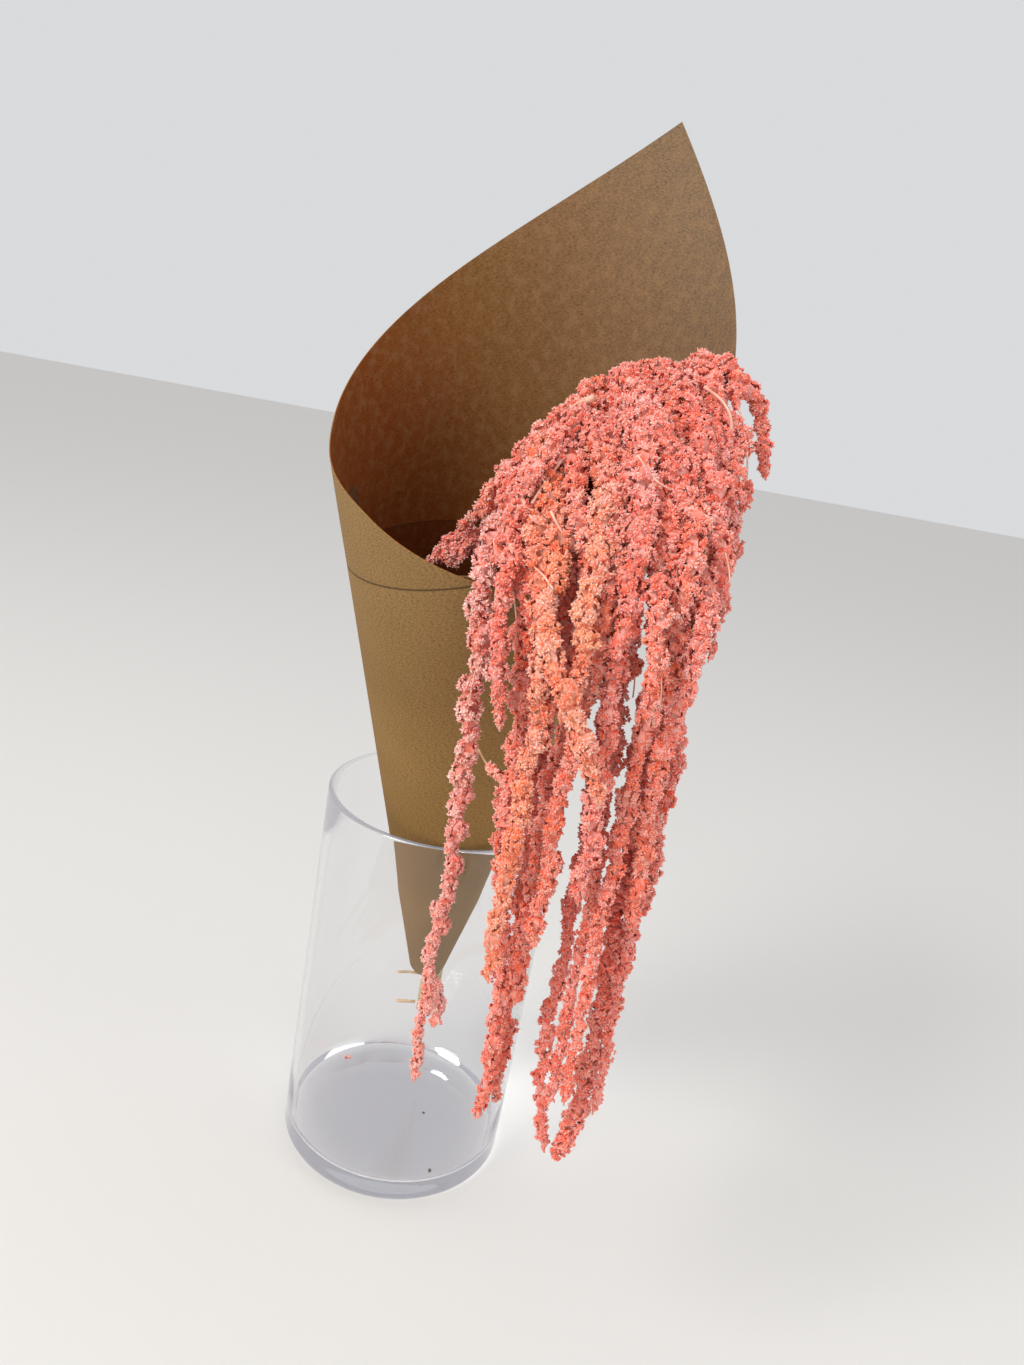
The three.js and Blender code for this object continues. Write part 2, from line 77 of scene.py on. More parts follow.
# Left to right: stem, start between the stem's wall point and its crown, top of the arch,
# where the tassel hangs down, the points that lead some of them further (via), and its tip
TASSELS = [
    # The first tassel's light value makes its florets paler: painted light
    dict(stem=0, start=0.95, arch=(2, -150, 464), hang=(2, -193),
         via=((4, -194, 387), (7, -194, 341), (8, -195, 298), (3.6, -195, 260), (6, -195, 228)),
         tip=(6.5, -195, 193), tip_radius=3.3, light=1.4),
    dict(stem=0, start=0.75, arch=(-10, -116, 452), hang=(-26, -136), tip=(-27, -142, 430)),
    dict(stem=0, start=0.85, arch=(6, -148, 478), hang=(20, -212),
         via=((23, -212, 396), (29, -211, 330), (33, -210, 290), (39.5, -209, 250),
              (40.5, -208, 222)),
         tip=(38, -208, 189), tip_radius=3.8),
    dict(stem=0, start=0.9, arch=(8, -158, 472), hang=(18, -200), tip=(24, -199, 322),
         loose=True),
    dict(stem=0, start=1.0, arch=(8, -134, 486), hang=(9, -226), tip=(16, -224, 386)),
    dict(stem=1, start=0.95, arch=(20, -142, 498), hang=(33, -198), tip=(45, -198, 204)),
    dict(stem=1, start=0.8, arch=(14, -134, 496), hang=(26, -226), tip=(30.4, -226, 274),
         peach=True),
    dict(stem=1, start=0.7, arch=(26, -140, 508), hang=(42, -212), tip=(44, -212, 256)),
    dict(stem=1, start=1.0, arch=(18, -122, 504), hang=(28, -242), tip=(58, -244, 370),
         peach=True),
    dict(stem=1, start=0.6, arch=(8, -100, 476), hang=(-2, -78), tip=(-8, -74, 424)),
    dict(stem=1, spur=0.8, arch=(15, 18, 97), tip=(20, 17, 75)),
    dict(stem=2, start=0.95, arch=(38, -136, 520), hang=(56, -198),
         via=((63, -199, 330), (61.5, -200, 305), (62.5, -200, 253), (65, -200, 201)),
         tip=(75, -200, 169), tip_radius=3.2),
    dict(stem=2, start=0.8, arch=(30, -126, 518), hang=(47, -226), tip=(46, -224, 294)),
    dict(stem=2, start=0.7, arch=(46, -132, 526), hang=(62, -212), tip=(69.5, -212, 206),
         tip_radius=3.3),
    dict(stem=2, start=1.0, arch=(34, -112, 522), hang=(39, -240), tip=(36, -236, 396),
         peach=True),
    dict(stem=2, start=0.9, arch=(50, -118, 532), hang=(57, -228), tip=(60, -228, 318)),
    dict(stem=3, start=0.95, arch=(58, -132, 530), hang=(75, -196),
         via=((82.5, -198, 308), (84, -200, 257), (86.5, -200, 205)),
         tip=(81, -200, 167), tip_radius=5.4),
    dict(stem=3, start=0.8, arch=(56, -118, 534), hang=(70, -222), tip=(75, -220, 214),
         tip_radius=3.1),
    dict(stem=3, start=0.7, arch=(66, -128, 534), hang=(83, -206), tip=(92, -204, 198),
         tip_radius=3.1),
    dict(stem=3, start=1.0, arch=(58, -104, 532), hang=(62, -242), tip=(72, -240, 404)),
    dict(stem=3, start=0.9, arch=(68, -112, 536), hang=(76, -222), tip=(86, -218, 306)),
    dict(stem=4, start=0.95, arch=(76, -118, 536), hang=(89, -188), tip=(94, -190, 270)),
    dict(stem=4, start=0.8, arch=(82, -108, 538), hang=(94, -174), tip=(95, -176, 350)),
    dict(stem=4, start=0.7, arch=(83, -118, 543), hang=(105, -164), tip=(104, -162, 412),
         loose=True),
    dict(stem=4, start=1.0, arch=(87.5, -125, 541.5), hang=(106, -132), tip=(117, -131, 492)),
    dict(stem=4, start=0.6, arch=(64, -84, 526), hang=(58, -64), tip=(54, -58, 468)),
    dict(stem=4, start=0.9, arch=(72, -92, 538), hang=(78, -232), tip=(80, -230, 388)),
]

# The paper cone's own frame
LEAN = math.radians(CONE.lean)
AZIMUTH = math.radians(CONE.lean_azimuth)
APEX = np.array(CONE.apex, float)
AXIS = np.array([math.sin(LEAN) * math.cos(AZIMUTH), math.sin(LEAN) * math.sin(AZIMUTH),
                 math.cos(LEAN)])
SIDE = np.cross((0, 0, 1), AXIS)
SIDE /= np.linalg.norm(SIDE)
UPWARD = np.cross(AXIS, SIDE)
SIN_HALF = math.sin(math.radians(CONE.half_angle))
COS_HALF = math.cos(math.radians(CONE.half_angle))
INNER_END = CONE.corner_angle - SHEET.half_corner / SIN_HALF


def radial_of(angle):
    return SIDE * math.cos(math.radians(angle)) + UPWARD * math.sin(math.radians(angle))


def on_cone(angle, slant, offset):
    along = APEX + AXIS * (slant * COS_HALF - offset * SIN_HALF)
    return along + radial_of(angle) * (slant * SIN_HALF + offset * COS_HALF)


def spiral_offset(angle):
    return SHEET.turn_pitch * (angle - INNER_END) / 360


def sheet_slant(flat_angle):
    corner = math.copysign(SHEET.half_corner, flat_angle)
    grown = min(1, max(0, (flat_angle - SHEET.flap_from) / SHEET.flap_over))
    rise = SHEET.flap_rise * grown * grown * (3 - 2 * grown)
    return SHEET.side / math.cos(math.radians(flat_angle - corner)) + rise


def crease_slant(flat_angle):
    return SHEET.crease_distance / math.cos(math.radians(flat_angle - SHEET.crease_turn))


# The stems' and tassels' lines, worked out as for the solids

def resample(points, step):
    points = np.array(points, float)
    parts = np.linalg.norm(np.diff(points, axis=0), axis=1)
    walked = np.concatenate([[0], np.cumsum(parts)])
    count = max(3, round(walked[-1] / step))
    targets = np.linspace(0, walked[-1], count + 1)
    return np.stack([np.interp(targets, walked, points[:, k]) for k in range(3)], axis=1)


def smooth(points, rounds):
    line = points.copy()
    for _ in range(rounds):
        line[1:-1] = line[1:-1] / 2 + (line[:-2] + line[2:]) / 4
    return line


def stem_line(stem):
    inset = spiral_offset(stem["wall_angle"]) - SHEET.thickness / 2
    inset = inset - STEM.foot_radius - SEAT_GAP
    slant = (STEM.leave_at - APEX[2]) / (COS_HALF * AXIS[2])
    mouth = on_cone(stem["wall_angle"], SHEET.tip_cut - SEAT_GAP, inset)
    high = on_cone(stem["wall_angle"], slant, inset)
    if "foot" in stem:
        x, z = stem["foot"]
        reach = VASE.radius - VASE.wall - STEM.foot_radius - SEAT_GAP
        foot = np.array([x, math.sqrt(reach * reach - x * x), z])
    else:
        foot = APEX + AXIS * (SHEET.tip_cut * COS_HALF - stem["bare"])
        foot = foot + radial_of(stem["wall_angle"]) * STEM.spread
    return dict(foot=foot, mouth=mouth, high=high, crown=np.array(stem["crown"], float))


STEM_LINES = [stem_line(stem) for stem in STEMS]


def tassel_home(tassel, index):
    line = STEM_LINES[tassel["stem"]]
    arch = np.array(tassel["arch"], float)
    tip = np.array(tassel["tip"], float)
    if "spur" in tassel:
        start = line["foot"] + (line["mouth"] - line["foot"]) * tassel["spur"]
        return smooth(resample([start, arch, tip], TASSEL.spur_step), 2)
    start = line["high"] + (line["crown"] - line["high"]) * tassel["start"]
    hang_x, hang_y = tassel["hang"]
    fall = TASSEL.shoulder_slope * abs(hang_y - arch[1])
    shoulder = (hang_x, hang_y, arch[2] - TASSEL.shoulder_drop - fall)
    led = tassel.get("via", ())
    corners = [start, (start + arch) / 2, arch, shoulder, *led, tip]
    home = smooth(resample(corners, TASSEL.step), TASSEL.smoothing)
    along = np.arange(len(home)) / len(home)
    most = SWAY.led_size if led else SWAY.size
    sway = most * 4 * along * (1 - along)
    across, painted_shade_colour = (along * SWAY.waves[k] + index * SWAY.phases[k] for k in range(2))
    home[:, 0] += sway * np.sin(across)
    home[:, 1] += SWAY.depth * sway * np.cos(painted_shade_colour)
    return home


def tassel_radius(ring, count, tassel):
    bare, flare = TASSEL.spur_neck if "spur" in tassel else TASSEL.neck
    if tassel.get("loose") and ring % LOOSE.rings > LOOSE.last_full:
        return TASSEL.thread_radius
    opening = min(1, max(0, (ring - bare) / flare))
    tip_radius = tassel.get("tip_radius", TASSEL.tip_radius)
    body = TASSEL.top_radius + (tip_radius - TASSEL.top_radius) * ring / (count - 1)
    end = min(1, (count - 1 - ring) / TASSEL.end_rings + TASSEL.end_share)
    return TASSEL.thread_radius + (body * end - TASSEL.thread_radius) * opening


def build_chains():
    chains = []
    for index, line in enumerate(STEM_LINES):
        wall = resample([line["mouth"], line["high"]], STEM.step)
        middle = (line["high"] + line["crown"]) / 2
        rise = smooth(resample([line["high"], middle, line["crown"]], TASSEL.step), 4)
        home = np.concatenate([[line["foot"]], wall, rise[1:]])
        radius = np.full(len(home), STEM.foot_radius)
        chains.append(dict(stem=index, fixed=True, home=home, radius=radius))
    for index, tassel in enumerate(TASSELS):
        home = tassel_home(tassel, index)
        radius = np.array([tassel_radius(ring, len(home), tassel) for ring in range(len(home))])
        chains.append(dict(stem=tassel["stem"], fixed=False, home=home, radius=radius,
                           tassel=tassel))
    return chains


def paper_guards():
    guards = []
    for angle in range(*GUARD.angles):
        for turn in (0, 360):
            flat_angle = (angle + turn - CONE.corner_angle) * SIN_HALF
            if abs(flat_angle) <= SHEET.half_corner:
                edge = sheet_slant(flat_angle)
                for slant in np.arange(edge, edge - BEND.paper_depth, -GUARD.slant_step):
                    guards.append(on_cone(angle, slant, spiral_offset(angle + turn)))
    return np.array(guards)


def near_pairs(first, second, reach, block_size=200):
    pairs = [np.zeros((0, 2), int)]
    for start in range(0, len(first), block_size):
        block = first[start:start + block_size]
        gap = np.linalg.norm(block[:, None] - second[None], axis=2)
        rows, columns = np.nonzero(gap < reach)
        pairs.append(np.stack([rows + start, columns], axis=1))
    return np.concatenate(pairs)


def bend_clear(chains):
    """Pushes the tassels' lines apart and off the paper, and keeps them smooth."""
    home = np.concatenate([chain["home"] for chain in chains])
    radius = np.concatenate([chain["radius"] for chain in chains])
    owner = np.concatenate([np.full(len(chain["home"]), i) for i, chain in enumerate(chains)])
    order = np.concatenate([np.arange(len(chain["home"])) for chain in chains])
    stem = np.array([chain["stem"] for chain in chains])[owner]
    fixed = np.array([chain["fixed"] for chain in chains])[owner] | (order == 0)
    guards = paper_guards()
    pairs = near_pairs(home, home, BEND.reach)
    a, b = pairs[pairs[:, 0] < pairs[:, 1]].T
    keep = (owner[a] != owner[b]) & ~(fixed[a] & fixed[b])
    a, b = a[keep], b[keep]
    both = radius[a] + radius[b]
    near = (order[a] < BEND.fork_rings) | (order[b] < BEND.fork_rings)
    same = np.where(near, BEND.near_fork, BEND.same_stem) * both
    wanted = np.where(stem[a] != stem[b], both + BEND.node_gap, same)
    share = np.where(fixed[a] | fixed[b], 1, 0.5) * BEND.push
    p, g = near_pairs(home, guards, BEND.reach).T
    p, g = p[~fixed[p]], g[~fixed[p]]
    keep_off = radius[p] + BEND.paper_reach
    last_of = np.append(owner[1:] != owner[:-1], True)
    before = np.maximum(np.arange(len(home)) - 1, 0)
    after = np.where(last_of, before, np.arange(len(home)) + 1)
    at = home.copy()

    def gather(index, shift):
        return np.stack([np.bincount(index, shift[:, k], len(at)) for k in range(3)], axis=1)

    for turn in range(BEND.rounds):
        last = turn > BEND.rounds - BEND.last_rounds
        delta = at[a] - at[b]
        gap = np.linalg.norm(delta, axis=1)
        hit = (gap < wanted) & (gap > 0)
        shift = delta[hit] * (((wanted - gap)[hit] / gap[hit]) * share[hit])[:, None]
        push = gather(a[hit], shift) - gather(b[hit], shift)
        delta = at[p] - guards[g]
        gap = np.linalg.norm(delta, axis=1)
        hit = gap < keep_off
        shift = delta[hit] * (((keep_off - gap)[hit] / gap[hit]) * BEND.paper_push)[:, None]
        push += gather(p[hit], shift)
        push[fixed] = 0
        at += push
        if not last:
            at[~fixed] += (home - at)[~fixed] * BEND.home_pull
        weight = BEND.last_spreading if last else BEND.spreading
        moved = at - home
        mean = (moved[before] + moved[after]) / 2
        spread = home + moved + (mean - moved) * weight
        at[~fixed] = spread[~fixed]
    return [at[owner == i] for i in range(len(chains))]


def fine_line(points, step, samples=8):
    """A smooth curve through the points (Catmull-Rom), sampled evenly."""
    padded = np.concatenate([[2 * points[0] - points[1]], points,
                             [2 * points[-1] - points[-2]]])
    t = np.linspace(0, 1, samples, endpoint=False)[:, None]
    pieces = []
    for i in range(1, len(padded) - 2):
        p0, p1, p2, p3 = padded[i - 1:i + 3]
        pieces.append(0.5 * (2 * p1 + (p2 - p0) * t + (2 * p0 - 5 * p1 + 4 * p2 - p3) * t ** 2
                             + (3 * p1 - p0 - 3 * p2 + p3) * t ** 3))
    dense = np.concatenate(pieces + [points[-1:]])
    return resample(dense, step)


def frames_along(line):
    """Tangent, normal and binormal at each point, without twist."""
    ahead = np.roll(line, -1, axis=0)
    behind = np.roll(line, 1, axis=0)
    ahead[-1] = line[-1]
    behind[0] = line[0]
    tangent = ahead - behind
    tangent /= np.linalg.norm(tangent, axis=1)[:, None]
    normal = np.zeros_like(line)
    carried = np.array([1, 0.3, 0.2])
    for i, t in enumerate(tangent):
        carried = carried - t * carried.dot(t)
        carried /= np.linalg.norm(carried)
        normal[i] = carried
    return tangent, normal, np.cross(tangent, normal)


def unit(vectors):
    return vectors / np.linalg.norm(vectors, axis=-1, keepdims=True)


# Meshes

def add_object(name, data):
    thing = bpy.data.objects.new(name, data)
    bpy.context.scene.collection.objects.link(thing)
    return thing


def add_point_values(mesh, **layers):
    for name, values in layers.items():
        layer = mesh.attributes.new(name, "FLOAT", "POINT")
        layer.data.foreach_set("value", np.asarray(values, np.float32))


class Builder:
    """Collects vertices, triangles, a material per triangle, a shade and a tint per vertex."""

    def __init__(self):
        self.points, self.faces, self.slots, self.shade, self.tint = [], [], [], [], []
        self.count = 0

    def add(self, points, faces, slot, shade, tint):
        self.points.append(points)
        self.faces.append(faces + self.count)
        self.slots.append(np.full(len(faces), slot))
        self.shade.append(np.broadcast_to(shade, len(points)))
        self.tint.append(np.broadcast_to(tint, len(points)))
        self.count += len(points)

    def mesh(self, name, materials, smooth_slots=()):
        points = np.concatenate(self.points) * MM
        faces = np.concatenate(self.faces)
        slots = np.concatenate(self.slots)
        mesh = bpy.data.meshes.new(name)
        mesh.vertices.add(len(points))
        mesh.vertices.foreach_set("co", points.ravel())
        mesh.loops.add(faces.size)
        mesh.loops.foreach_set("vertex_index", faces.ravel())
        mesh.polygons.add(len(faces))
        mesh.polygons.foreach_set("loop_start", np.arange(0, faces.size, 3))
        mesh.polygons.foreach_set("material_index", slots)
        mesh.polygons.foreach_set("use_smooth", np.isin(slots, smooth_slots))
        add_point_values(mesh, shade=np.concatenate(self.shade), tint=np.concatenate(self.tint))
        for material in materials:
            mesh.materials.append(material)
        mesh.update(calc_edges=True)
        mesh.validate()
        return add_object(name, mesh)


def tube_mesh(line, radii, sides, ridge=0.0, ridges=1):
    """A closed tube. The radii are one a ring, or one a vertex."""
    _, normal, binormal = frames_along(line)
    turn = np.linspace(0, TURN, sides, endpoint=False)
    out = normal[:, None] * np.cos(turn)[None, :, None]
    out = out + binormal[:, None] * np.sin(turn)[None, :, None]
    if radii.ndim == 1:
        radii = radii[:, None] * (1 + ridge * np.cos(ridges * turn))[None]
    points = (line[:, None] + out * radii[:, :, None]).reshape(-1, 3)
    a = np.arange((len(line) - 1) * sides)
    b = a - a % sides + (a + 1) % sides
    side = np.arange(sides)
    after = (side + 1) % sides
    start, end = len(points), len(points) + 1
    last = (len(line) - 1) * sides
    faces = [np.stack([a, b, a + sides], 1), np.stack([b, b + sides, a + sides], 1),
             np.stack([np.full(sides, start), after, side], 1),
             np.stack([np.full(sides, end), last + side, last + after], 1)]
    return np.concatenate([points, line[:1], line[-1:]]), np.concatenate(faces)


# Florets: a small round core whose facets are drawn out into pointed bracts. They cover the
# round lumps that each tassel is made of, over a rough heart coloured dark as painted shade for
# the depths between the florets. A pair of numbers gives the least of a value and how much more
# it may be.

FLORET = Data(kinds=24, density=0.52, least_girth=2.6, size=2.6, by_girth=(0.62, 0.4),
              by_chance=(0.78, 0.44), most=0.9, sunk=0.85, scatter=0.3, core=(0.47, 0.18),
              bract=(0.68, 0.36), lean=0.24, core_shade=(0.14, 0.28), tip_shade=(0.6, 0.4),
              shade=(0.84, 0.16), golden_angle=2.4, wander=0.4, first_angle=6, outward=0.75,
              endward=0.8)
LUMP = Data(spacing=2.0, spread=0.6, least=2.5, neck=0.3, off_line=0.32, top_swell=1.24,
            tip_swell=1.1, roundness=0.92, strength=(0.8, 0.4), depth=(0.8, 0.34),
            shade=(0.55, 0.45))
HEART = Data(every=4, sides=7, share=0.5, roughness=0.4, bare=0.3, shade=(0.25, 0.25))
THREAD = Data(step=3.0, root=1.2, root_fade=14, least=0.36, taper=0.22, shade=0.5)
SPRIG = Data(first=24, last=0.55, every=40 / 3, by_every=(0.6, 0.8), length=15, thread=0.34,
             by_length=(0.7, 0.6), reach=6.0, by_reach=(0.8, 0.4), bow_along=0.4, bow_out=0.95,
             step=2.5, smoothing=3, hanging=-0.7, tufted=0.45, tufts=3, scatter=0.9, radius=2.2,
             florets=6, tint=(0.3, 0.5))
TUFT = Data(floret=0.8, sunk=0.8, spread=(0.8, 0.4), tint_spread=0.2)
TINT = Data(peach=1.15, plain=0.6, tassel=0.45, lump=0.24, floret=0.14, heart=0.2)
SPUR = Data(least=4.0, swell=1.5)
STALK = Data(step=4.0, sides=20, ridge=0.05, ridges=5, shade=0.8)
SEED = Data(floret=40, tassel=500, extra=900, crumbs=77)
BODY_STEP = 0.5
FULL = 1.8


def drawn(draw, pair, count=None):
    return pair[0] + pair[1] * draw.random(count)


def icosahedron():
    shape = bmesh.new()
    bmesh.ops.create_icosphere(shape, subdivisions=1, radius=1)
    shape.verts.ensure_lookup_table()
    points = np.array([v.co[:] for v in shape.verts])
    faces = np.array([[v.index for v in f.verts] for f in shape.faces])
    shape.free()
    return points, faces


def floret_shape(seed):
    """A small star, its axis along +Z: the outward facets of a core drawn out to points."""
    draw = np.random.default_rng(seed)
    points, faces = icosahedron()
    points = points @ np.linalg.qr(draw.normal(size=(3, 3)))[0]
    corners = points[faces]
    normal = np.cross(corners[:, 1] - corners[:, 0], corners[:, 2] - corners[:, 0])
    middle = unit(corners.mean(axis=1))
    if (normal * middle).sum() < 0:
        faces = faces[:, ::-1]
    outward = middle[:, 2] > 0
    faces, middle = faces[outward], middle[outward]
    core = points * drawn(draw, FLORET.core, len(points))[:, None]
    reach = drawn(draw, FLORET.bract, len(middle))
    tips = unit(middle + draw.normal(0, FLORET.lean, middle.shape)) * reach[:, None]
    used, faces = np.unique(faces, return_inverse=True)
    faces = faces.reshape(-1, 3)
    tip = len(used) + np.arange(len(faces))
    triangles = [np.stack([faces[:, k], faces[:, (k + 1) % 3], tip], 1) for k in range(3)]
    # Core vertices get low shades and bract tips high ones: painted shade deep in the floret,
    # painted highlight partly at the tips
    shade = np.concatenate([drawn(draw, FLORET.core_shade, len(used)),
                            drawn(draw, FLORET.tip_shade, len(tips))])
    return np.concatenate([core[used], tips]), np.concatenate(triangles), shade


FLORETS = [floret_shape(SEED.floret + kind) for kind in range(FLORET.kinds)]


def add_florets(builder, draw, places, outs, alongs, sizes, shades, tints, slot=0):
    """Sets one floret at each place, turned outwards and spun about that direction."""
    kinds = draw.integers(FLORET.kinds, size=len(places))
    spin = draw.random(len(places))[:, None] * TURN
    across = unit(np.cross(outs, alongs))
    first = np.cross(across, outs) * np.cos(spin) + across * np.sin(spin)
    turn = np.stack([first, np.cross(outs, first), outs], axis=2)
    for kind, (shape, triangles, shade) in enumerate(FLORETS):
        chosen = np.nonzero(kinds == kind)[0]
        points = np.einsum("nij,vj->nvi", turn[chosen], shape) * sizes[chosen, None, None]
        points += places[chosen, None]
        faces = triangles[None] + (np.arange(len(chosen)) * len(shape))[:, None, None]
        shaded = shade[None] * shades[chosen, None]
        builder.add(points.reshape(-1, 3), faces.reshape(-1, 3), slot, shaded.ravel(),
                    np.repeat(tints[chosen], len(shape)))


def add_tuft(builder, draw, middle, radius, count, tint, slot=0):
    """A small ball of florets."""
    outs = unit(draw.normal(size=(count, 3)))
    size = radius * TUFT.floret
    places = middle + outs * (radius - TUFT.sunk * size)
    sizes = size * drawn(draw, TUFT.spread, count)
    alongs = unit(draw.normal(size=(count, 3)))
    tints = tint + TUFT.tint_spread * (draw.random(count) - 0.5)
    add_florets(builder, draw, places, outs, alongs, sizes, np.ones(count), tints, slot)


def add_thread(builder, points, radii, tint=0.3, sides=5):
    points, faces = tube_mesh(points, radii, sides)
    builder.add(points, faces, 1, THREAD.shade, tint)


def add_sprigs(builder, draw, thread, tint):
    """Bare fine threads that stand off a tassel's upper part, some with tufts at the end."""
    tangent, normal, binormal = frames_along(thread)
    last = int(len(thread) * SPRIG.last)
    step = max(1, round(SPRIG.every * drawn(draw, SPRIG.by_every)))
    for i in range(SPRIG.first, last, step):
        if tangent[i][2] > SPRIG.hanging:
            continue
        turn = draw.random() * TURN
        out = normal[i] * math.cos(turn) + binormal[i] * math.sin(turn)
        length = SPRIG.length * drawn(draw, SPRIG.by_length)
        reach = out * SPRIG.reach
        end = thread[i] + tangent[i] * length + reach * drawn(draw, SPRIG.by_reach)
        bow = thread[i] + tangent[i] * length * SPRIG.bow_along + reach * SPRIG.bow_out
        line = smooth(resample([thread[i], bow, end], SPRIG.step), SPRIG.smoothing)
        add_thread(builder, line, np.full(len(line), SPRIG.thread))
        if draw.random() < SPRIG.tufted:
            for place in line[-SPRIG.tufts:]:
                middle = place + draw.normal(0, SPRIG.scatter, 3)
                radius = SPRIG.radius + draw.random()
                add_tuft(builder, draw, middle, radius, SPRIG.florets, tint)


def lumps_along(draw, walked, thickness):
    """For each point of a tassel: which lump it is in, and how far along it, from -1 to 1."""
    edges = [0.0]
    while edges[-1] < walked[-1]:
        local = max(LUMP.least, np.interp(edges[-1], walked, thickness))
        length = LUMP.spacing * local * (1 + LUMP.spread * (draw.random() - 0.5))
        edges.append(edges[-1] + length)
    edges = np.array(edges)
    lump = np.clip(np.searchsorted(edges, walked, side="right") - 1, 0, len(edges) - 2)
    across = 2 * (walked - edges[lump]) / (edges[lump + 1] - edges[lump]) - 1
    return lump, np.clip(across, -1, 1)


def add_tassel(builder, line, radii, tassel, index):
    draw = np.random.default_rng(SEED.tassel + index)
    thread = fine_line(line, THREAD.step)
    along = np.linspace(0, 1, len(thread))
    add_thread(builder, thread, THREAD.root * np.exp(-along * THREAD.root_fade)
               + THREAD.least + THREAD.taper * (1 - along))
    body = fine_line(line, BODY_STEP)
    tangent, normal, binormal = frames_along(body)
    walked = np.arange(len(body)) * BODY_STEP
    ring = np.linspace(0, len(line) - 1, len(body))
    thickness = np.interp(ring, np.arange(len(line)), radii)
    if tassel.get("loose"):
        bare = (ring + LOOSE.shift) % LOOSE.rings > LOOSE.bare_from
        thickness *= np.where(bare, 0, LOOSE.swell)
    if "spur" in tassel:
        thickness = np.maximum(thickness, SPUR.least) * SPUR.swell

    # Each lump has a thickness, a direction off the line, a tone and a depth of colour
    lump, across = lumps_along(draw, walked, thickness)
    lumps = lump[-1] + 1
    strength = drawn(draw, LUMP.strength, lumps)[lump]
    turn = (draw.random(lumps) * TURN)[lump, None]
    tone = draw.random(lumps)[lump]
    depth = drawn(draw, LUMP.depth, lumps)[lump]
    bump = np.sqrt(1 - LUMP.roundness * across ** 2)
    swell = np.linspace(LUMP.top_swell, LUMP.tip_swell, len(body))
    envelope = thickness * swell * strength * (LUMP.neck + (1 - LUMP.neck) * bump)
    shift = (thickness * bump * LUMP.off_line)[:, None]
    centre = body + shift * (normal * np.cos(turn) + binormal * np.sin(turn))
    tassel_tint = TINT.peach if tassel.get("peach") else TINT.plain * draw.random()

    # The heart's shades are low: painted shade in the gaps between the florets
    kept = slice(None, None, HEART.every)
    rough = 1 + HEART.roughness * draw.normal(size=(len(body[kept]), HEART.sides))
    heart = np.where(thickness[kept, None] > FULL,
                     envelope[kept, None] * HEART.share * rough, HEART.bare)
    points, faces = tube_mesh(centre[kept], heart, HEART.sides)
    builder.add(points, faces, 0, drawn(draw, HEART.shade, len(points)),
                TINT.tassel * tassel_tint + TINT.heart)

    # The florets follow a loose spiral, more of them where the tassel is thicker
    girth = np.maximum(envelope, FLORET.least_girth)
    rate = np.where(thickness > FULL, FLORET.density * girth, 0) * BODY_STEP
    counted = np.cumsum(rate)
    count = int(counted[-1])
    at = np.interp(np.arange(count) + 0.5, counted, np.arange(len(body))).round().astype(int)
    angle = FLORET.golden_angle * np.arange(count) + FLORET.wander * draw.normal(size=count)
    angle = (angle + draw.random() * FLORET.first_angle)[:, None]
    radial = normal[at] * np.cos(angle) + binormal[at] * np.sin(angle)
    slope = across[at, None]
    outs = unit(radial * np.sqrt(1 - FLORET.outward * slope ** 2)
                + tangent[at] * FLORET.endward * slope)
    least, growth = FLORET.by_girth
    sizes = FLORET.size * (least + growth * thickness[at] / TASSEL.top_radius)
    sizes = sizes * drawn(draw, FLORET.by_chance, count)
    sizes = np.minimum(sizes, envelope[at] * FLORET.most)
    places = centre[at] + radial * (envelope[at] - FLORET.sunk * sizes)[:, None]
    places += draw.normal(0, FLORET.scatter, places.shape)
    tints = TINT.tassel * tassel_tint + TINT.lump * tone[at]
    tints = tints + TINT.floret * draw.random(count)
    # Florets at a lump's necks get lower shades than at its middle: painted shade between the
    # lumps
    least, growth = LUMP.shade
    shades = (least + growth * bump[at]) * drawn(draw, FLORET.shade, count) * depth[at]
    # A tassel given light gets paler florets: painted light on the left tassel, which stands in
    # the light
    shades *= tassel.get("light", 1)
    add_florets(builder, draw, places, outs, tangent[at], sizes, shades, tints)
    if "spur" not in tassel:
        least, growth = SPRIG.tint
        add_sprigs(builder, draw, thread, least + growth * tassel_tint)


